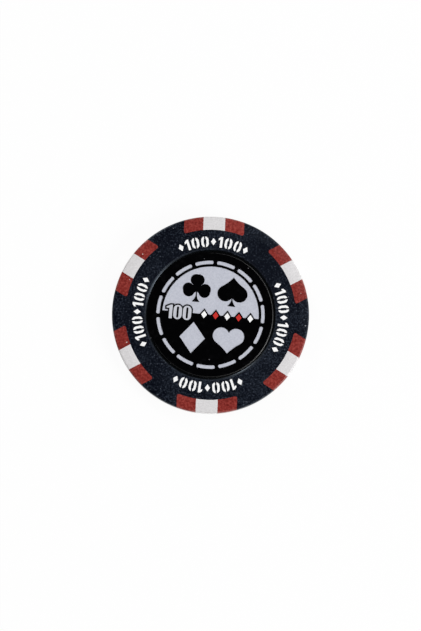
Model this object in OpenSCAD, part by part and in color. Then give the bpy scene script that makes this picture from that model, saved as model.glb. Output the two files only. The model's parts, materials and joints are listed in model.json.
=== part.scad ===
// Composite poker chip: a black moulded disc over a steel weight, with edge spots of three keyed inserts
// each and a printed foil label in a shallow recess on both faces.
// The origin is the middle of the lower ring face, +Z is the chip's axis and +Y points at the first spot.

/* [Chip] */
// Diameter over the rim
chip_d = 40; // [36:0.5:48]
// Thickness over the two ring faces
chip_t = 3.3; // [2.8:0.1:5]
// Radius of the rounded edges of the rim
rim_r = 0.4; // [0.1:0.05:1]
// Width of the outer band where each face falls away towards the rim
fall_w = 1.8; // [0.8:0.1:2.4]
// How far the face has fallen at the rim
fall_h = 0.16; // [0.02:0.02:0.3]

/* [Steel weight] */
// Moulded skin between the weight and the floor of each recess
weight_skin = 0.4; // [0.2:0.05:0.6]
// Moulded wall between the weight's edge and the nearest insert keys
weight_wall = 1.9; // [0.6:0.1:4]
// Chamfer round the weight's two edges
weight_chamfer = 0.2; // [0.05:0.05:0.4]

/* [Edge spots] */
// Number of spots round the rim
spot_count = 6; // [3:1:6]
// Depth of a spot, from the rim inwards
spot_depth = 2.7; // [1.6:0.1:4]
// Width of the white insert in the middle of a spot
white_w = 4.4; // [2.4:0.1:6]
// Width of the red insert on each side of it
red_w = 3.9; // [2.4:0.1:5]
// Radius of the two inner corners of a spot
spot_corner_r = 0.4; // [0.1:0.05:1]

/* [Insert keys] */
// Thickness of the key that anchors each insert, at half the chip's height
key_t = 1.2; // [0.6:0.1:1.8]
// Width of a key's neck
key_neck_w = 1.2; // [0.6:0.1:1.6]
// Diameter of the round head at a key's end
key_head_d = 1.8; // [1.7:0.1:2.2]
// Distance from the insert's inner end to the middle of the key's head
key_reach = 1; // [0.8:0.1:2]

/* [Label] */
// Diameter of the label
label_d = 25.6; // [21:0.2:28]
// Gap all round between the label and the wall of its recess
label_gap = 0.2; // [0.1:0.05:0.6]
// Depth of a recess below the ring face
recess_depth = 0.3; // [0.25:0.05:0.45]
// Width of the sloping lip of a recess
lip_w = 0.4; // [0.1:0.05:0.6]
// Drop of that lip, from the ring face to the recess wall
lip_h = 0.2; // [0.05:0.05:0.2]
// Thickness of the foil film
film_t = 0.12; // [0.08:0.01:0.16]
// Thickness of the black print on the film
print_t = 0.05; // [0.03:0.01:0.08]
// Clockwise turn of the label on the chip
label_turn = 3; // [-15:0.5:15]

/* [Label print] */
// Number of foil dashes in the ring
dash_count = 15; // [8:1:20]
// Width of a dash
dash_w = 0.7; // [0.4:0.05:1]
// Gap between two dashes, end to end
dash_gap = 0.72; // [0.4:0.02:1.5]
// Black margin between the label's edge and the dashes
dash_margin = 1.8; // [0.8:0.05:2]
// Black gap between the dashes and the foil half disc
panel_margin = 0.5; // [0.2:0.05:0.8]
// Distance of the two left suit marks from the label's middle, across
left_mark_x = 3.25; // [3:0.05:3.6]
// Distance of the two right suit marks from the label's middle, across
right_mark_x = 4.05; // [3.6:0.05:4.4]
// Distance of the middle of the club from the dividing line
club_y = 5.15; // [4.2:0.05:5.2]
// Distance of the middle of the spade from the dividing line
spade_y = 5; // [4.2:0.05:5.1]
// Distance of the middles of the diamond and the heart from the dividing line
lower_mark_y = 4.95; // [4.2:0.05:5.1]

/* [Suit marks] */
// Radius of the lobes of the spade's leaf
leaf_lobe_r = 1.6; // [1.5:0.05:1.7]
// Distance of those lobes from the mark's middle line
leaf_lobe_x = 1.45; // [1.1:0.05:1.45]
// Height of the leaf's point above the lobes' middles
leaf_tip_h = 3.35; // [3:0.05:3.6]
// Radius of the hollow flanks beside the leaf's point
leaf_flank_r = 10; // [5:0.5:14]
// Size of the heart against the spade's leaf
heart_size = 1.05; // [0.9:0.01:1.1]
// Radius of the round ends of the club's three lobes
club_lobe_r = 1.15; // [1:0.05:1.2]
// Half the distance between the two round ends of a lobe
club_lobe_spread = 0.26; // [0.1:0.02:0.3]
// Distance of the club's two side lobes from its middle line
club_lobe_x = 1.65; // [1.5:0.05:1.75]
// Height of the club's upper lobe above the two side ones
club_lobe_h = 2.1; // [1.8:0.05:2.2]
// Outward lean of the side lobes
club_lobe_lean = 13; // [0:1:30]
// Drop from the side lobes' middles to the fork above the club's stem
club_fork = 0.2; // [0:0.05:0.5]
// Width of the diamond
diamond_w = 5.2; // [3:0.1:5.6]
// Height of the diamond
diamond_h = 6.4; // [4:0.1:7]
// Width of the foot of the spade's and the club's stem
stem_w = 1.5; // [1:0.1:2]
// Width of the stem's neck
stem_neck_w = 0.2; // [0.1:0.05:0.5]
// Height of the flared part of the stem
stem_flare_h = 1.55; // [1.2:0.05:1.8]
// Height of the straight ends of the stem's foot
stem_foot_t = 0.1; // [0.05:0.05:0.3]
// Drop from the spade's lobes' middles to the foot of its stem
spade_stem_h = 2.55; // [2.2:0.05:2.8]
// Drop from the club's side lobes' middles to the foot of its stem
club_stem_h = 2.35; // [2.2:0.05:2.6]

/* [Hidden] */
$fn = 96;
over = 0.5;                // how far a cutter runs past what it cuts
chip_r = chip_d / 2;
label_r = label_d / 2;
recess_r = label_r + label_gap;
recess_floor_z = chip_t - recess_depth;
spot_r = chip_r - spot_depth;
spot_w = white_w + 2 * red_w;
spot_step = 360 / spot_count;
red_x = (white_w + red_w) / 2;
weight_t = chip_t - 2 * (recess_depth + weight_skin);
weight_r = spot_r - key_reach - key_head_d / 2 - weight_wall;
dash_ring_r = label_r - dash_margin - dash_w / 2;
panel_r = dash_ring_r - dash_w / 2 - panel_margin;
dash_step = 360 / dash_count;
dash_end_r = 0.6 * dash_w;
dash_arc = dash_step - (dash_gap + 2 * dash_end_r) / dash_ring_r * 180 / PI;   // between its ends' middles

body_colour = "#1b1f27";
red_colour = "#87332e";
white_colour = "#dad8d8";
steel_colour = "#8d9196";
foil_colour = "#c0c2cc";
print_colour = "#050507";

WHITE_NODES = [for (i = [1:spot_count]) str("white_insert_", i)];
LEFT_NODES = [for (i = [1:spot_count]) str("red_insert_", i, "_left")];
RIGHT_NODES = [for (i = [1:spot_count]) str("red_insert_", i, "_right")];
LABEL_NODES = ["front_label_film", "front_label_print", "back_label_film", "back_label_print"];

// Where a line across the spot at x meets the arc of the spots' inner ends
function spot_end_y(x) = sqrt(spot_r ^ 2 - x ^ 2);

// The crossing of two circles that lies to the left of the line from the first middle to the second
function circles_cross(a, ra, b, rb) =
    let (d = norm(b - a), along = (ra ^ 2 - rb ^ 2 + d ^ 2) / (2 * d), u = (b - a) / d)
    a + along * u + sqrt(ra ^ 2 - along ^ 2) * [-u[1], u[0]];

// Takes the sharp corner off the section where the falling face meets the rim, with a round that is tangent to both
module rim_cutter() {
    slope = atan2(fall_h, fall_w);
    mid_x = chip_r - rim_r;
    mid_y = chip_t - (fall_w - rim_r) * tan(slope) - rim_r / cos(slope);
    far = rim_r + over;
    translate([mid_x, mid_y]) difference() {
        polygon([[0, 0], far * [sin(slope), cos(slope)], [far, far], [far, 0]]);
        circle(rim_r);
    }
}

// Half of the plain chip's section, flat in the middle and falling to round rim edges
module blank_section() {
    difference() {
        polygon([
            [0, 0], [chip_r - fall_w, 0], [chip_r, fall_h],
            [chip_r, chip_t - fall_h], [chip_r - fall_w, chip_t], [0, chip_t]
        ]);
        rim_cutter();
        translate([0, chip_t]) mirror([0, 1]) rim_cutter();
    }
}

module blank() {
    rotate_extrude() blank_section();
}

// Section of the label recess in the front face: a flat floor, a low wall and a sloping lip
module recess_section() {
    polygon([
        [0, recess_floor_z], [recess_r, recess_floor_z], [recess_r, chip_t - lip_h],
        [recess_r + lip_w, chip_t], [recess_r + lip_w, chip_t + over], [0, chip_t + over]
    ]);
}

// The plain chip with a label recess in both faces
module recessed_blank() {
    rotate_extrude() difference() {
        blank_section();
        recess_section();
        translate([0, chip_t]) mirror([0, 1]) recess_section();
    }
}

// The steel weight, a blanked disc with its edges chamfered
module weight_solid() {
    c = weight_chamfer;
    translate([0, 0, recess_depth + weight_skin]) rotate_extrude() polygon([
        [0, 0], [weight_r - c, 0], [weight_r, c],
        [weight_r, weight_t - c], [weight_r - c, weight_t], [0, weight_t]
    ]);
}

// Rounds one inner corner of a spot's plan; side is 1 on the right and -1 on the left
module spot_corner_cutter(side) {
    r = spot_corner_r;
    mid_x = spot_w / 2 - r;
    mid_y = sqrt((spot_r + r) ^ 2 - mid_x ^ 2);
    inward = (spot_r - over) / (spot_r + r);
    mirror([side < 0 ? 1 : 0, 0]) difference() {
        polygon([
            [mid_x, mid_y],
            [mid_x * inward, mid_y * inward],
            [spot_w / 2 + over, mid_y * inward],
            [spot_w / 2 + over, mid_y]
        ]);
        translate([mid_x, mid_y]) circle(r);
    }
}

// Plan of a strip of a spot from x1 to x2, running out past the rim
module spot_plan(x1, x2) {
    difference() {
        translate([x1, 0]) square([x2 - x1, chip_r + over]);
        circle(spot_r);
        spot_corner_cutter(1);
        spot_corner_cutter(-1);
    }
}

// Anchor inside the body at the inner end of the insert in the middle of x: a neck with a round head
module key(x) {
    base_y = spot_end_y(x);
    bite = key_neck_w / 2;
    translate([x, base_y - key_reach, (chip_t - key_t) / 2]) {
        cylinder(d = key_head_d, h = key_t);
        translate([-key_neck_w / 2, 0, 0]) cube([key_neck_w, key_reach + bite, key_t]);
    }
}

// Turns a piece from the first spot to spot number i
module at_spot(i) {
    rotate([0, 0, -spot_step * (i - 1)]) children();
}

// What the body leaves free for the three inserts of one spot
module spot_pocket() {
    translate([0, 0, -over]) linear_extrude(chip_t + 2 * over) spot_plan(-spot_w / 2, spot_w / 2);
    for (x = [-red_x, 0, red_x]) key(x);
}

// One insert of the first spot, from x1 to x2, flush with the faces and the rim
module insert(x1, x2) {
    intersection() {
        blank();
        translate([0, 0, -over]) linear_extrude(chip_t + 2 * over) spot_plan(x1, x2);
    }
    key((x1 + x2) / 2);
}

module body() {
    color(body_colour) difference() {
        recessed_blank();
        weight_solid();
        for (i = [1:spot_count]) at_spot(i) spot_pocket();
    }
}

module steel_weight() {
    color(steel_colour) weight_solid();
}

module white_insert(i) {
    color(white_colour) at_spot(i) insert(-white_w / 2, white_w / 2);
}

module red_insert_left(i) {
    color(red_colour) at_spot(i) insert(-spot_w / 2, -white_w / 2);
}

module red_insert_right(i) {
    color(red_colour) at_spot(i) insert(white_w / 2, spot_w / 2);
}

// Leaf of the heart and the spade, point up: two lobes, and hollow flanks that run up to the point
module leaf_mark() {
    lobe = [leaf_lobe_x, 0];
    tip = [0, leaf_tip_h];
    flank = circles_cross(tip, leaf_flank_r, lobe, leaf_lobe_r + leaf_flank_r);
    meet = lobe + (flank - lobe) * leaf_lobe_r / (leaf_lobe_r + leaf_flank_r);
    for (side = [-1, 1]) translate([side * lobe[0], 0]) circle(leaf_lobe_r);
    difference() {
        polygon([lobe, meet, tip, [-meet[0], meet[1]], [-lobe[0], 0]]);
        for (side = [-1, 1]) translate([side * flank[0], flank[1]]) circle(leaf_flank_r);
    }
}

// Stem below a suit mark whose lobes are at height 0: a thin neck that flares out to the foot
module stem_mark(drop) {
    hollow_w = (stem_w - stem_neck_w) / 2;
    hollow_h = stem_flare_h - stem_foot_t;
    hollow_r = (hollow_w ^ 2 + hollow_h ^ 2) / (2 * hollow_w);
    neck_y = stem_flare_h - drop;
    translate([-stem_neck_w / 2, neck_y]) square([stem_neck_w, -neck_y]);
    difference() {
        translate([-stem_w / 2, -drop]) square([stem_w, stem_flare_h]);
        for (side = [-1, 1]) translate([side * (stem_neck_w / 2 + hollow_r), neck_y]) circle(hollow_r);
    }
}

// One lobe of the club, long across the line from the club's middle
module club_lobe() {
    for (side = [-1, 1]) translate([side * club_lobe_spread, 0]) circle(club_lobe_r);
    square([2 * club_lobe_spread, 1.98 * club_lobe_r], center = true);
}

// The four suit marks, each in the middle of its own height
module heart_mark() {
    scale(heart_size) translate([0, (leaf_tip_h - leaf_lobe_r) / 2]) mirror([0, 1]) leaf_mark();
}

module spade_mark() {
    translate([0, (spade_stem_h - leaf_tip_h) / 2]) {
        leaf_mark();
        stem_mark(spade_stem_h);
    }
}

module club_mark() {
    side_foot = club_lobe_r * [0.62, -0.78];      // low on the inner side of a side lobe, within it
    translate([0, (club_stem_h - club_lobe_h - club_lobe_r) / 2]) {
        translate([0, club_lobe_h]) club_lobe();
        for (side = [-1, 1]) translate([side * club_lobe_x, 0]) rotate(90 - side * club_lobe_lean) club_lobe();
        polygon([
            [-club_lobe_x, 0], [side_foot[0] - club_lobe_x, side_foot[1]], [0, -club_fork],
            [club_lobe_x - side_foot[0], side_foot[1]], [club_lobe_x, 0], [0, club_lobe_h]
        ]);
        stem_mark(club_stem_h);
    }
}

module diamond_mark() {
    polygon([[0, diamond_h / 2], [diamond_w / 2, 0], [0, -diamond_h / 2], [-diamond_w / 2, 0]]);
}

// The ring of dashes with round ends; the gap at the top is halfway between two of them
module dashes() {
    half = dash_arc / 2;
    intersection() {
        difference() {
            circle(dash_ring_r + dash_w / 2);
            circle(dash_ring_r - dash_w / 2);
        }
        for (i = [1:dash_count]) rotate(90 - (i - 0.5) * dash_step) {
            polygon([[0, 0], label_r * [cos(half), sin(half)], label_r * [cos(half), -sin(half)]]);
            for (side = [-1, 1]) rotate(side * half) translate([dash_ring_r, 0]) circle(dash_end_r);
        }
    }
}

// The black print, which leaves the foil bare in the dashes, the upper half disc and the two lower marks
module print_plan() {
    difference() {
        circle(label_r);
        dashes();
        intersection() {
            circle(panel_r);
            translate([-label_r, 0]) square([label_d, label_r]);
        }
        translate([-left_mark_x, -lower_mark_y]) diamond_mark();
        translate([right_mark_x, -lower_mark_y]) heart_mark();
    }
    translate([-left_mark_x, club_y]) club_mark();
    translate([right_mark_x, spade_y]) spade_mark();
}

// Puts a label's layers on the floor of the front recess, or turns them over onto the back one
module label_place(front) {
    translate([0, 0, front ? recess_floor_z : recess_depth])
        rotate([0, front ? 0 : 180, 0]) rotate([0, 0, -label_turn]) children();
}

module label_film(front) {
    color(foil_colour) label_place(front) cylinder(r = label_r, h = film_t);
}

module label_print(front) {
    color(print_colour) label_place(front) translate([0, 0, film_t]) linear_extrude(print_t) print_plan();
}

body();
steel_weight();
for (i = [1:spot_count]) {
    white_insert(i);
    red_insert_left(i);
    red_insert_right(i);
}
label_film(true);  // front_label_film
label_print(true);  // front_label_print
label_film(false);  // back_label_film
label_print(false);  // back_label_print
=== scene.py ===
import json
import math

import bmesh
import bpy
from mathutils import Matrix, Vector


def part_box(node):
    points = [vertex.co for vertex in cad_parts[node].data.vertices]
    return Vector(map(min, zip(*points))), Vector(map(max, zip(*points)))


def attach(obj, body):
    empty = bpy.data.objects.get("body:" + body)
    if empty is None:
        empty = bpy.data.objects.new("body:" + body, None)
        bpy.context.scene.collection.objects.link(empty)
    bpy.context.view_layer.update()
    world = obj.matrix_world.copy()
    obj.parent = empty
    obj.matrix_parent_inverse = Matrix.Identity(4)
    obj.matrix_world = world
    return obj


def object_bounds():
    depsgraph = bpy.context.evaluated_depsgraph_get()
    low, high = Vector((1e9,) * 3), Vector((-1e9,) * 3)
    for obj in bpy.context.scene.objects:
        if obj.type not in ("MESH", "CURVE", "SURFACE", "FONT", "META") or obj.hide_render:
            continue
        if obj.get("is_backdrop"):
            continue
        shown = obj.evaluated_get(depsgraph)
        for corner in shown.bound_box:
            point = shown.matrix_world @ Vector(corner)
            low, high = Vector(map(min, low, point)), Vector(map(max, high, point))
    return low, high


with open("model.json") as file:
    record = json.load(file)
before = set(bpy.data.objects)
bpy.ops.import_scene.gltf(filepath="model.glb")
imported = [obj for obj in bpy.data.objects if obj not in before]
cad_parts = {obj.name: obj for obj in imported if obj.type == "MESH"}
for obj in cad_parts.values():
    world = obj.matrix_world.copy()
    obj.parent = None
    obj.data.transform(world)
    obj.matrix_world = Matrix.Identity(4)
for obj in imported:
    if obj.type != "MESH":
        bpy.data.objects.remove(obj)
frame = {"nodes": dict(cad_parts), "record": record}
cadLow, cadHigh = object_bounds()
nodes = frame["nodes"]
mm = 0.001
chipHeight = cadHigh.z
print("frame loaded:", len(nodes), "nodes")


def linear(hexColour):
    channels = [int(hexColour[i:i + 2], 16) / 255 for i in (1, 3, 5)]
    return [c / 12.92 if c <= 0.04045 else ((c + 0.055) / 1.055) ** 2.4 for c in channels] + [1]


def addNode(tree, kind, settings=None, links=None):
    node = tree.nodes.new(kind)
    for key, value in (settings or {}).items():
        if isinstance(key, int) or key in node.inputs:
            node.inputs[key].default_value = value
        else:
            setattr(node, key, value)
    for key, source in (links or {}).items():
        tree.links.new(source, node.inputs[key])
    return node


def startMaterial(name):
    material = bpy.data.materials.new(name)
    material.use_nodes = True
    tree = material.node_tree
    tree.nodes.clear()
    place = addNode(tree, "ShaderNodeTexCoord")
    inMm = addNode(tree, "ShaderNodeMapping", {"Scale": (1 / mm, 1 / mm, 1 / mm)},
                   {"Vector": place.outputs["Object"]})
    return material, tree, inMm.outputs["Vector"]


def speckMask(tree, inMm, cellMm, speckMm, share):
    # a few small round specks, one at most in each cell of the pattern
    smallest = 0.3   # beside the largest speck
    cells = addNode(tree, "ShaderNodeTexVoronoi", {"Scale": 1 / cellMm}, {"Vector": inMm})
    draw = addNode(tree, "ShaderNodeSeparateColor", links={"Color": cells.outputs["Color"]})
    size = addNode(tree, "ShaderNodeMapRange",
                   {"To Min": smallest * speckMm / cellMm, "To Max": speckMm / cellMm},
                   {"Value": draw.outputs["Green"]})
    spot = addNode(tree, "ShaderNodeMath", {"operation": "LESS_THAN"},
                   {0: cells.outputs["Distance"], 1: size.outputs["Result"]})
    chosen = addNode(tree, "ShaderNodeMath", {"operation": "LESS_THAN", 1: share}, {0: draw.outputs["Red"]})
    return addNode(tree, "ShaderNodeMath", {"operation": "MULTIPLY"},
                   {0: spot.outputs["Value"], 1: chosen.outputs["Value"]}).outputs["Value"]


# ABS with a mineral filler, moulded in a matt tool: a dull face with a fine mottled grain and small flecks,
# cool in its sheen on the black, smoother inside the lip and darkened there as painted shade, and scuffed
# where the edges are handled
blackPlastic = {
    "name": "mineral filled ABS moulded black",
    "deep": "#00010e", "base": "#030611", "pale": "#252b36", "fleck": "#585d66",
    # the colour laid inside the lip is painted shade for the recess round the label
    "worn": "#3d4147", "recessShade": "#020303", "nick": "#8f9298", "tint": "#dcecff",
    "grainMm": 0.33, "fleckMm": 0.33, "fleckFrom": 0.68, "fleckTo": 0.76, "wearMm": 0.9,
    "blotch": 0.35, "spread": 0.11, "bump": 0.25,
}
redPlastic = {
    "name": "mineral filled ABS moulded red",
    "deep": "#6e1913", "base": "#862a24", "pale": "#9d3e36", "fleck": "#5a1a15",
    "worn": "#a06a64", "recessShade": "#5f1d18", "nick": "#d8d6d2", "tint": "#ffffff",
    "grainMm": 0.40, "fleckMm": 0.34, "fleckFrom": 0.66, "fleckTo": 0.74, "wearMm": 1.0,
    "blotch": 0.35, "spread": 0.18, "bump": 0.25,
}
whitePlastic = {
    "name": "mineral filled ABS moulded white",
    "deep": "#d4d2d3", "base": "#dbd9da", "pale": "#e3e1e2", "fleck": "#cbc6c3",
    "worn": "#cbc8c6", "recessShade": "#cfcac7", "nick": "#a29e9a", "tint": "#ffffff",
    "grainMm": 0.30, "fleckMm": 0.40, "fleckFrom": 0.70, "fleckTo": 0.80, "wearMm": 1.2,
    "blotch": 0.03, "spread": 0.18, "bump": 0.2,
}
mouldFinish = {   # what the three have in common; the grain is drawn coarse enough to show
    "roughness": (0.28, 0.38), "polished": 0.28, "scuffed": 0.54, "specular": 0.34, "ior": 1.52,
    # the large mottle is shifted so that it falls darker on the chip's left: painted shade, over a random
    # mottle of tone
    "bumpMm": 0.02, "fleckShare": 0.6, "blotchMm": 7.0, "blotchShadeAt": (9.0, 4.0, 0.0),
    # radii in mm between which each kind of wear, and the painted shade inside the lip, comes in
    "rim": (19.55, 19.85), "shoulder": (13.15, 13.25), "face": (13.55, 13.35), "lip": (13.23, 13.13),
    "shoulderScuff": 0.15, "patchFrom": 0.45, "patchTo": 0.70, "patchShare": 0.8,
    "nickCellMm": 1.2, "nickMm": 0.13, "nickShare": 0.14,
}


def mouldedPlastic(look, mould):
    material, tree, inMm = startMaterial(look["name"])
    grain = addNode(tree, "ShaderNodeTexNoise", {"Scale": 1 / look["grainMm"], "Detail": 2, "Roughness": 0.6},
                    {"Vector": inMm})
    # the large mottle, shifted to fall darker on the left as painted shade
    moved = addNode(tree, "ShaderNodeVectorMath", {"operation": "ADD", 1: mould["blotchShadeAt"]}, {0: inMm})
    blotch = addNode(tree, "ShaderNodeTexNoise",
                     {"Scale": 1 / mould["blotchMm"], "Detail": 3, "Roughness": 0.7},
                     {"Vector": moved.outputs["Vector"]})
    shade = addNode(tree, "ShaderNodeMath", {"operation": "MULTIPLY_ADD", 1: look["blotch"]},
                    {0: blotch.outputs["Fac"], 2: grain.outputs["Fac"]})
    ramp = addNode(tree, "ShaderNodeValToRGB", links={"Fac": shade.outputs["Value"]})
    middle = 0.5 + look["blotch"] / 2
    ramp.color_ramp.elements[0].position = middle - look["spread"]
    ramp.color_ramp.elements[0].color = linear(look["deep"])
    ramp.color_ramp.elements[1].position = middle + look["spread"]
    ramp.color_ramp.elements[1].color = linear(look["pale"])
    ramp.color_ramp.elements.new(middle).color = linear(look["base"])
    flecks = addNode(tree, "ShaderNodeTexNoise",
                     {"Scale": 1 / look["fleckMm"], "Detail": 1, "Roughness": 0.5},
                     {"Vector": inMm})
    fleckShare = addNode(tree, "ShaderNodeMapRange",
                         {"From Min": look["fleckFrom"], "From Max": look["fleckTo"],
                          "To Max": mould["fleckShare"]},
                         {"Value": flecks.outputs["Fac"]})
    colour = addNode(tree, "ShaderNodeMix", {"data_type": "RGBA", 7: linear(look["fleck"])},
                     {0: fleckShare.outputs["Result"], 6: ramp.outputs["Color"]}).outputs[2]

    # masks by the distance from the chip's axis
    flat = addNode(tree, "ShaderNodeVectorMath", {"operation": "MULTIPLY", 1: (1, 1, 0)}, {0: inMm})
    radius = addNode(tree, "ShaderNodeVectorMath", {"operation": "LENGTH"}, {0: flat.outputs["Vector"]})
    masks = {}
    for name in ("rim", "shoulder", "face", "lip"):
        masks[name] = addNode(tree, "ShaderNodeMapRange",
                              {"From Min": mould[name][0], "From Max": mould[name][1]},
                              {"Value": radius.outputs["Value"]}).outputs["Result"]
    shoulder = addNode(tree, "ShaderNodeMath", {"operation": "MULTIPLY"},
                       {0: masks["shoulder"], 1: masks["face"]})
    edges = addNode(tree, "ShaderNodeMath", {"operation": "MULTIPLY_ADD", 1: mould["shoulderScuff"]},
                    {0: shoulder.outputs["Value"], 2: masks["rim"]})

    # pale scuffs in patches along the edges, painted shade inside the lip round the label, and a few nicks
    patches = addNode(tree, "ShaderNodeTexNoise",
                      {"Scale": 1 / look["wearMm"], "Detail": 3, "Roughness": 0.7},
                      {"Vector": inMm})
    patchShare = addNode(tree, "ShaderNodeMapRange",
                         {"From Min": mould["patchFrom"], "From Max": mould["patchTo"],
                          "To Max": mould["patchShare"]},
                         {"Value": patches.outputs["Fac"]})
    worn = addNode(tree, "ShaderNodeMath", {"operation": "MULTIPLY"},
                   {0: edges.outputs["Value"], 1: patchShare.outputs["Result"]})
    nicks = speckMask(tree, inMm, mould["nickCellMm"], mould["nickMm"], mould["nickShare"])
    # inside the lip the colour is darkened as painted shade in the recess
    for share, mark in ((worn.outputs["Value"], "worn"), (masks["lip"], "recessShade"), (nicks, "nick")):
        colour = addNode(tree, "ShaderNodeMix", {"data_type": "RGBA", 7: linear(look[mark])},
                         {0: share, 6: colour}).outputs[2]

    rough = addNode(tree, "ShaderNodeMapRange",
                    {"To Min": mould["roughness"][0], "To Max": mould["roughness"][1]},
                    {"Value": grain.outputs["Fac"]})
    sheen = rough.outputs["Result"]
    for share, finish in ((masks["lip"], "polished"), (shoulder.outputs["Value"], "scuffed")):
        sheen = addNode(tree, "ShaderNodeMix", {"data_type": "FLOAT", 3: mould[finish]},
                        {0: share, 2: sheen}).outputs[0]
    bump = addNode(tree, "ShaderNodeBump", {"Strength": look["bump"], "Distance": mould["bumpMm"] * mm},
                   {"Height": grain.outputs["Fac"]})
    shader = addNode(tree, "ShaderNodeBsdfPrincipled",
                     {"Specular IOR Level": mould["specular"], "IOR": mould["ior"],
                      "Specular Tint": linear(look["tint"])},
                     {"Base Color": colour, "Roughness": sheen, "Normal": bump.outputs["Normal"]})
    addNode(tree, "ShaderNodeOutputMaterial", links={"Surface": shader.outputs["BSDF"]})
    return material


# PET film with a fine aluminium flake lacquer: a satin grey with a cold cast and a fine sparkle
silverFilm = {
    "name": "PET film silver flake lacquered",
    "deep": "#c3c6d2", "base": "#cacdd9", "pale": "#d2d4df", "deepAt": 0.36, "baseAt": 0.5, "paleAt": 0.66,
    "flakeMm": 0.3,   # drawn coarse enough to show
    "roughness": (0.36, 0.52), "metallic": 0.15, "specular": 0.3, "ior": 1.57,
}


def flakeFilm(look):
    material, tree, inMm = startMaterial(look["name"])
    flake = addNode(tree, "ShaderNodeTexNoise", {"Scale": 1 / look["flakeMm"], "Detail": 2, "Roughness": 0.7},
                    {"Vector": inMm})
    ramp = addNode(tree, "ShaderNodeValToRGB", links={"Fac": flake.outputs["Fac"]})
    ramp.color_ramp.elements[0].position = look["deepAt"]
    ramp.color_ramp.elements[0].color = linear(look["deep"])
    ramp.color_ramp.elements[1].position = look["paleAt"]
    ramp.color_ramp.elements[1].color = linear(look["pale"])
    ramp.color_ramp.elements.new(look["baseAt"]).color = linear(look["base"])
    rough = addNode(tree, "ShaderNodeMapRange",
                    {"To Min": look["roughness"][0], "To Max": look["roughness"][1]},
                    {"Value": flake.outputs["Fac"]})
    shader = addNode(tree, "ShaderNodeBsdfPrincipled",
                     {"Metallic": look["metallic"], "Specular IOR Level": look["specular"],
                      "IOR": look["ior"]},
                     {"Base Color": ramp.outputs["Color"], "Roughness": rough.outputs["Result"]})
    addNode(tree, "ShaderNodeOutputMaterial", links={"Surface": shader.outputs["BSDF"]})
    return material


# screen ink under a clear varnish, and white foil hot stamped: an even coat, deep and glossy in the black,
# with a faint film of handling and a few specks of dust
blackInk = {
    "name": "screen ink black varnished", "base": "#020203", "haze": "#0d0d0f", "dust": "#77777a",
    "roughness": 0.10, "specular": 0.45,
}
edgeInk = {
    "name": "screen ink black on a cut edge", "base": "#060607", "haze": "#111113", "dust": "#77777a",
    "roughness": 0.42, "specular": 0.9,
}
silverInk = {
    "name": "screen ink silver varnished", "base": "#c6c8d0", "haze": "#babcc5", "dust": "#8b8d96",
    "roughness": 0.34, "specular": 0.45,
}
redInk = {
    "name": "screen ink red varnished", "base": "#c8302a", "haze": "#b82822", "dust": "#8e1d19",
    "roughness": 0.24, "specular": 0.45,
}
whiteFoil = {
    "name": "hot stamped foil white", "base": "#fafafa", "haze": "#f2f2f3", "dust": "#bcbcbe",
    "roughness": 0.42, "specular": 0.45,
}
inkWear = {   # the haze makes the gloss uneven too, between these shares of each roughness
    "hazeMm": 0.9, "hazeFrom": 0.55, "hazeTo": 0.75, "hazeShare": 0.6, "glossShares": (0.8, 1.3), "ior": 1.5,
    "dustCellMm": 0.9, "dustMm": 0.10, "dustShare": 0.16,
}


def printedInk(look, wear):
    material, tree, inMm = startMaterial(look["name"])
    haze = addNode(tree, "ShaderNodeTexNoise", {"Scale": 1 / wear["hazeMm"], "Detail": 2, "Roughness": 0.6},
                   {"Vector": inMm})
    hazeShare = addNode(tree, "ShaderNodeMapRange",
                        {"From Min": wear["hazeFrom"], "From Max": wear["hazeTo"],
                         "To Max": wear["hazeShare"]},
                        {"Value": haze.outputs["Fac"]})
    dust = speckMask(tree, inMm, wear["dustCellMm"], wear["dustMm"], wear["dustShare"])
    colour = addNode(tree, "ShaderNodeMix",
                     {"data_type": "RGBA", 6: linear(look["base"]), 7: linear(look["haze"])},
                     {0: hazeShare.outputs["Result"]}).outputs[2]
    colour = addNode(tree, "ShaderNodeMix", {"data_type": "RGBA", 7: linear(look["dust"])},
                     {0: dust, 6: colour}).outputs[2]
    low, high = [look["roughness"] * share for share in wear["glossShares"]]
    rough = addNode(tree, "ShaderNodeMapRange", {"To Min": low, "To Max": high},
                    {"Value": haze.outputs["Fac"]})
    shader = addNode(tree, "ShaderNodeBsdfPrincipled",
                     {"Specular IOR Level": look["specular"], "IOR": wear["ior"]},
                     {"Base Color": colour, "Roughness": rough.outputs["Result"]})
    addNode(tree, "ShaderNodeOutputMaterial", links={"Surface": shader.outputs["BSDF"]})
    return material


# low carbon steel, blanked from cold rolled strip: fine grey lines along the rolling
rolledSteel = {
    "name": "steel cold rolled", "deep": "#6f7378", "pale": "#a2a6ab", "lineMm": 0.25, "lineMmAlong": 12.5,
    "roughness": 0.38,
}


def rolledMetal(look):
    material, tree, inMm = startMaterial(look["name"])
    drawnOut = addNode(tree, "ShaderNodeMapping", {"Scale": (look["lineMm"] / look["lineMmAlong"], 1, 1)},
                       {"Vector": inMm})
    lines = addNode(tree, "ShaderNodeTexNoise", {"Scale": 1 / look["lineMm"], "Detail": 3},
                    {"Vector": drawnOut.outputs["Vector"]})
    colour = addNode(tree, "ShaderNodeMix",
                     {"data_type": "RGBA", 6: linear(look["deep"]), 7: linear(look["pale"])},
                     {0: lines.outputs["Fac"]}).outputs[2]
    shader = addNode(tree, "ShaderNodeBsdfPrincipled", {"Metallic": 1.0, "Roughness": look["roughness"]},
                     {"Base Color": colour})
    addNode(tree, "ShaderNodeOutputMaterial", links={"Surface": shader.outputs["BSDF"]})
    return material


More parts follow.
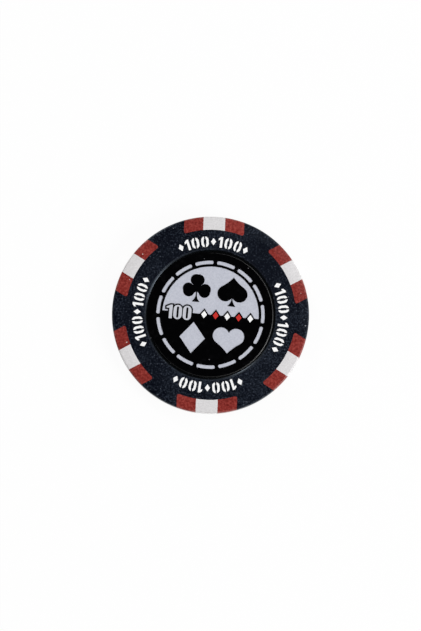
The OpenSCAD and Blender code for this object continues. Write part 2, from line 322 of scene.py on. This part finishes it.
finishes = {
    "moulded_black": mouldedPlastic(blackPlastic, mouldFinish),
    "moulded_red": mouldedPlastic(redPlastic, mouldFinish),
    "moulded_white": mouldedPlastic(whitePlastic, mouldFinish),
    "foil_film": flakeFilm(silverFilm),
    "black_print": printedInk(blackInk, inkWear),
    "steel": rolledMetal(rolledSteel),
}
silverMaterial = printedInk(silverInk, inkWear)
whiteMaterial = printedInk(whiteFoil, inkWear)
redMaterial = printedInk(redInk, inkWear)
edgeMaterial = printedInk(edgeInk, inkWear)
for part in frame["record"]["subparts"]:
    slots = nodes[part["node"]].data.materials
    slots.clear()
    slots.append(finishes[part["material_slot"]])
print("materials set on the moulded pieces, the weight and the labels")


def thicken(bm, height):
    made = bmesh.ops.extrude_face_region(bm, geom=bm.faces[:])
    lifted = [v for v in made["geom"] if isinstance(v, bmesh.types.BMVert)]
    bmesh.ops.translate(bm, verts=lifted, vec=(0, 0, height))
    bmesh.ops.recalc_face_normals(bm, faces=bm.faces[:])


def drawIn(bm, border):
    # the same outline, smaller all round by the border
    bmesh.ops.recalc_face_normals(bm, faces=bm.faces[:])
    made = bmesh.ops.inset_region(bm, faces=bm.faces[:], thickness=border, use_boundary=True,
                                  use_even_offset=True)
    bmesh.ops.delete(bm, geom=made["faces"], context="FACES")


def slotLoop(bm, width, height):
    # a circle pulled apart into a slot outline
    sides, hair = 48, 1e-9   # the points on the middle line are off it by less than a hair, and stay there
    made = bmesh.ops.create_circle(bm, cap_ends=False, segments=sides, radius=width / 2)
    for side in (-1, 1):
        half = [v for v in made["verts"] if v.co.y * side > hair]
        bmesh.ops.translate(bm, verts=half, vec=(0, side * (height - width) / 2, 0))
    return list({e for v in made["verts"] for e in v.link_edges})


def zeroFace(bm, sizes):
    # a flat ring between two slot outlines
    outer, inner = [slotLoop(bm, width, height) for width, height in sizes]
    bmesh.ops.bridge_loops(bm, edges=outer + inner)


def oneFace(bm, width, height, stroke, flag):
    # a stem with a short flag: flag gives its shoulder, and how far its tip, foot and join lie below the top
    left, right, top, foot = -width / 2, width / 2, height / 2, -height / 2
    stem = right - stroke
    shoulder, tip, under, join = flag
    outline = [(stem, foot), (right, foot), (right, top), (stem + shoulder, top),
               (left, top - tip), (left, top - under), (stem, top - join)]
    bm.faces.new([bm.verts.new((x, y, 0)) for x, y in outline])


def lozengeFace(bm, width, height):
    made = bmesh.ops.create_circle(bm, cap_ends=True, segments=4, radius=1)
    bmesh.ops.scale(bm, vec=(width / 2, height / 2, 1), verts=made["verts"])


def addCopy(bm, mesh, matrix):
    have = len(bm.verts)
    bm.from_mesh(mesh)
    bm.verts.ensure_lookup_table()
    bmesh.ops.transform(bm, matrix=matrix, verts=bm.verts[have:])


def toMesh(bm, name):
    mesh = bpy.data.meshes.new(name)
    bm.to_mesh(mesh)
    bm.free()
    return mesh


def addPiece(mesh, name, materials):
    piece = bpy.data.objects.new(name, mesh)
    bpy.context.scene.collection.objects.link(piece)
    for material in materials:
        mesh.materials.append(material)
    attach(piece, "root")


def addToBothFaces(mesh, name, materials):
    turnOver = Matrix.Translation((0, 0, chipHeight)) @ Matrix.Rotation(math.pi, 4, "Y")
    backMesh = mesh.copy()
    backMesh.transform(turnOver)
    addPiece(mesh, "front_" + name, materials)
    addPiece(backMesh, "back_" + name, materials)


# stencilled values on the black ring, four times round, between small lozenges
ringPrint = {
    "row": "*100*100*", "copies": 4, "radius": 14.87 * mm, "height": 2.2 * mm, "stroke": 0.48 * mm,
    "zeroWidth": 1.5 * mm, "stencilGap": 0.3 * mm,
    "oneWidth": 0.86 * mm, "oneFlag": (0.08 * mm, 0.38 * mm, 0.78 * mm, 0.55 * mm),
    "lozengeWidth": 1.05 * mm, "lozengeHeight": 1.5 * mm,
    "space": 0.46 * mm, "proud": 0.015 * mm, "sunk": 0.01 * mm,
}


def makeRingGlyphs(look):
    zero, one, lozenge = bmesh.new(), bmesh.new(), bmesh.new()
    zeroFace(zero, [(look["zeroWidth"], look["height"]),
                    (look["zeroWidth"] - 2 * look["stroke"], look["height"] - 2 * look["stroke"])])
    half = look["stencilGap"] / 2
    for side in (-half, half):
        bmesh.ops.bisect_plane(zero, geom=zero.verts[:] + zero.edges[:] + zero.faces[:],
                               plane_co=(side, 0, 0), plane_no=(1, 0, 0))
    bridges = [f for f in zero.faces if abs(f.calc_center_median().x) < half]
    bmesh.ops.delete(zero, geom=bridges, context="FACES")
    oneFace(one, look["oneWidth"], look["height"], look["stroke"], look["oneFlag"])
    lozengeFace(lozenge, look["lozengeWidth"], look["lozengeHeight"])
    glyphs = {}
    for key, bm, width in (("0", zero, "zeroWidth"), ("1", one, "oneWidth"), ("*", lozenge, "lozengeWidth")):
        thicken(bm, look["proud"] + look["sunk"])
        glyphs[key] = (toMesh(bm, "glyph"), look[width])
    return glyphs


def makeRingPrint(look):
    glyphs = makeRingGlyphs(look)
    length = sum(glyphs[c][1] for c in look["row"]) + look["space"] * (len(look["row"]) - 1)
    bm = bmesh.new()
    lift = Matrix.Translation((0, look["radius"], chipHeight - look["sunk"]))
    for copy in range(look["copies"]):
        along = -length / 2
        for c in look["row"]:
            mesh, width = glyphs[c]
            turn = (along + width / 2) / look["radius"] + copy * math.tau / look["copies"]
            addCopy(bm, mesh, Matrix.Rotation(-turn, 4, "Z") @ lift)
            along += width + look["space"]
    return toMesh(bm, "ring_print")


addToBothFaces(makeRingPrint(ringPrint), "ring_print", [whiteMaterial])
print("ring values printed on both faces")

# the label's plain value and a row of small lozenges on its dividing line, each in ink on a black ground
labelMarks = {
    "turn": math.radians(3), "y": -0.085 * mm, "border": 0.29 * mm, "ground": 0.07 * mm, "ink": 0.01 * mm,
    "oneX": -8.385 * mm, "oneSize": (1.81 * mm, 3.36 * mm), "oneStroke": 1.22 * mm,
    "oneFlag": (0.47 * mm, 0.53 * mm, 1.26 * mm, 1.26 * mm),
    "zeroX": (-6.685 * mm, -4.765 * mm), "zeroGround": (2.30 * mm, 3.49 * mm),
    "zeroInk": [(1.73 * mm, 2.91 * mm), (0.42 * mm, 2.29 * mm)],
    "lozengeWidth": 1.9 * mm, "lozengeHeight": 2.5 * mm, "lozengeFrom": -1.3 * mm, "lozengeStep": 2.35 * mm,
    "lozengeInks": ("white", "red", "white", "red", "white"),
}
markInks = {
    "silver": silverMaterial, "black": finishes["black_print"], "white": whiteMaterial, "red": redMaterial,
}


def makeLabelMarks(look):
    bm = bmesh.new()
    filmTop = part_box("front_label_film")[1].z
    turn = Matrix.Rotation(-look["turn"], 4, "Z")

    def lay(mark, x, ink):
        # black is the ground on the film, and the other inks lie on it
        low, height = (0, look["ground"]) if ink == "black" else (look["ground"], look["ink"])
        thicken(mark, height)
        for face in mark.faces:
            face.material_index = list(markInks).index(ink)
        addCopy(bm, toMesh(mark, "mark"), turn @ Matrix.Translation((x, look["y"], filmTop + low)))

    for ink in ("black", "silver"):
        mark = bmesh.new()
        oneFace(mark, *look["oneSize"], look["oneStroke"], look["oneFlag"])
        if ink != "black":
            drawIn(mark, look["border"])
        lay(mark, look["oneX"], ink)
    for x in look["zeroX"]:
        mark = bmesh.new()
        bmesh.ops.edgeloop_fill(mark, edges=slotLoop(mark, *look["zeroGround"]))
        lay(mark, x, "black")
        mark = bmesh.new()
        zeroFace(mark, look["zeroInk"])
        lay(mark, x, "silver")
    for i, lozengeInk in enumerate(look["lozengeInks"]):
        for ink in ("black", lozengeInk):
            mark = bmesh.new()
            lozengeFace(mark, look["lozengeWidth"], look["lozengeHeight"])
            if ink != "black":
                drawIn(mark, look["border"])
            lay(mark, look["lozengeFrom"] + i * look["lozengeStep"], ink)
    return toMesh(bm, "label_marks")


addToBothFaces(makeLabelMarks(labelMarks), "label_marks", markInks.values())
print("label values and lozenges printed on both faces")

# the varnish that gathers over the label's cut edge: a round shoulder that catches the light,
# higher on the side it has run to
labelEdge = {
    "radius": 0.30 * mm, "inside": 0.245 * mm, "proud": 0.020 * mm, "rise": 0.036 * mm,
    "toward": math.radians(-30), "steps": 10, "turns": 200, "weld": 1e-7, "sharp": math.radians(40),
}


def makeLabelEdge(look):
    filmLow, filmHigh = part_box("front_label_film")
    edge = filmHigh.x
    floor = filmLow.z - look["rise"]   # let into the recess, so that no gap shows under the high side
    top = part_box("front_label_print")[1].z + look["proud"]
    middle = Vector((edge - look["inside"], 0, top - look["radius"]))
    bm = bmesh.new()
    first = bm.verts.new((middle.x, 0, top))
    last = bmesh.ops.spin(bm, geom=[first], cent=middle, axis=(0, 1, 0), steps=look["steps"],
                          angle=math.acos((floor - middle.z) / look["radius"]))["geom_last"][0]
    corner = bm.verts.new((middle.x, 0, floor))
    bm.edges.new((corner, first))
    bm.edges.new((corner, last))
    bmesh.ops.spin(bm, geom=bm.verts[:] + bm.edges[:], cent=(0, 0, 0), axis=(0, 0, 1), angle=math.tau,
                   steps=look["turns"], use_merge=True)
    bmesh.ops.remove_doubles(bm, verts=bm.verts[:], dist=look["weld"])
    bmesh.ops.recalc_face_normals(bm, faces=bm.faces[:])
    across = Matrix.Rotation(look["toward"], 3, "Z") @ Vector((0, -1, 0))
    bmesh.ops.rotate(bm, verts=bm.verts[:], cent=(0, 0, top),
                     matrix=Matrix.Rotation(look["rise"] / edge, 3, across))
    for face in bm.faces:
        face.smooth = True
    for side in bm.edges:
        side.smooth = side.calc_face_angle(0) < look["sharp"]   # the shoulder is round, the cut sides are not
    return toMesh(bm, "label_edge")


addToBothFaces(makeLabelEdge(labelEdge), "label_varnish_edge", [edgeMaterial])
print("varnish edge laid round both labels")


def straightRays(tree):
    # 1 for what the camera sees, straight on, in gloss or through glass
    path = addNode(tree, "ShaderNodeLightPath")
    seen = path.outputs["Is Camera Ray"]
    for kind in ("Is Glossy Ray", "Is Transmission Ray"):
        seen = addNode(tree, "ShaderNodeMath", {"operation": "MAXIMUM"},
                       {0: seen, 1: path.outputs[kind]}).outputs["Value"]
    return seen


# pale floor: white to the camera, with the chip's soft shadow left in it
floorLook = {"size": 4.0, "gap": 0.005 * mm, "colour": "#f4f4f4", "white": 0.94}


def makeFloor(look):
    bm = bmesh.new()
    bmesh.ops.create_grid(bm, x_segments=1, y_segments=1, size=look["size"] / 2)
    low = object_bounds()[0].z
    bmesh.ops.translate(bm, verts=bm.verts[:], vec=(0, 0, low - look["gap"]))
    floor = bpy.data.objects.new("floor", toMesh(bm, "floor"))
    bpy.context.scene.collection.objects.link(floor)
    material = bpy.data.materials.new("floor card matt white")
    material.use_nodes = True
    tree = material.node_tree
    tree.nodes.clear()
    card = addNode(tree, "ShaderNodeBsdfDiffuse", {"Color": linear(look["colour"])})
    glow = addNode(tree, "ShaderNodeEmission", {"Color": (1, 1, 1, 1), "Strength": 1.0})
    share = addNode(tree, "ShaderNodeMath", {"operation": "MULTIPLY", 1: look["white"]},
                    {0: straightRays(tree)})
    mix = addNode(tree, "ShaderNodeMixShader",
                  links={0: share.outputs["Value"], 1: card.outputs["BSDF"], 2: glow.outputs["Emission"]})
    addNode(tree, "ShaderNodeOutputMaterial", links={"Surface": mix.outputs["Shader"]})
    floor.data.materials.append(material)
    floor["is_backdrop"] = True


makeFloor(floorLook)

# soft studio light: a large lamp on the right, weaker ones beyond the chip and overhead, and a room with
# a white wall and a dark ceiling, so that the gloss label stays black from above
studio = {
    "lamps": {   # place and size in metres, power in watts
        "key lamp": ((0.92, -0.43, 0.585), 0.45, 9.0),
        "back lamp": ((-0.41, 0.69, 0.47), 0.17, 2.0),
        "top lamp": ((0.42, 0.33, 0.85), 0.30, 1.5),
    },
    "roomHorizon": 0.55, "roomTop": 0.395, "roomTopAt": 0.9,
    "wallFoot": 0.08, "wallTop": 0.26, "ceiling": 0.01,
}


def addLamp(name, place, size, power):
    lamp = bpy.data.lights.new(name, "AREA")
    lamp.size = size
    lamp.energy = power
    holder = bpy.data.objects.new(name, lamp)
    holder.location = place
    holder.rotation_euler = Vector(place).to_track_quat("Z", "Y").to_euler()
    bpy.context.scene.collection.objects.link(holder)


def lightStudio(look):
    for name, (place, size, power) in look["lamps"].items():
        addLamp(name, place, size, power)
    world = bpy.data.worlds.new("room")
    bpy.context.scene.world = world
    world.use_nodes = True
    tree = world.node_tree
    tree.nodes.clear()
    place = addNode(tree, "ShaderNodeTexCoord")
    split = addNode(tree, "ShaderNodeSeparateXYZ", links={"Vector": place.outputs["Generated"]})
    soft = addNode(tree, "ShaderNodeMapRange",
                   {"From Min": 0.0, "From Max": look["roomTopAt"],
                    "To Min": look["roomHorizon"], "To Max": look["roomTop"]},
                   {"Value": split.outputs["Z"]})
    wall = addNode(tree, "ShaderNodeMapRange",
                   {"From Min": look["wallFoot"], "From Max": look["wallTop"],
                    "To Min": 1.0, "To Max": look["ceiling"]},
                   {"Value": split.outputs["Z"]})
    level = addNode(tree, "ShaderNodeMix", {"data_type": "FLOAT"},
                    {0: straightRays(tree), 2: soft.outputs["Result"], 3: wall.outputs["Result"]})
    room = addNode(tree, "ShaderNodeBackground", {"Color": (1, 1, 1, 1)}, {"Strength": level.outputs[0]})
    addNode(tree, "ShaderNodeOutputWorld", links={"Surface": room.outputs["Background"]})


lightStudio(studio)

# long lens almost straight above, leaning a little towards the lower edge of the picture
cameraLook = {
    "distance": 0.9, "frameHeight": 128.15 * mm, "lean": math.radians(4.2), "chipTurn": math.radians(2.4),
    "aimUp": -0.05 * mm, "sensorMm": 36, "clip": (0.05, 20),
}


def addCamera(look):
    up = Vector((-math.sin(look["chipTurn"]), math.cos(look["chipTurn"]), 0))
    right = Vector((math.cos(look["chipTurn"]), math.sin(look["chipTurn"]), 0))
    aim = up * look["aimUp"] + Vector((0, 0, chipHeight / 2))
    back = Vector((0, 0, math.cos(look["lean"]))) - up * math.sin(look["lean"])
    camera = bpy.data.cameras.new("camera")
    camera.sensor_width = look["sensorMm"]
    camera.lens = look["sensorMm"] * look["distance"] / look["frameHeight"]
    camera.clip_start, camera.clip_end = look["clip"]
    holder = bpy.data.objects.new("camera", camera)
    turn = Matrix((right, back.cross(right), back)).transposed().to_4x4()
    holder.matrix_world = Matrix.Translation(aim + back * look["distance"]) @ turn
    bpy.context.scene.collection.objects.link(holder)
    bpy.context.scene.camera = holder


addCamera(cameraLook)
bpy.context.scene.view_settings.view_transform = "Standard"
print("floor, light and camera set")
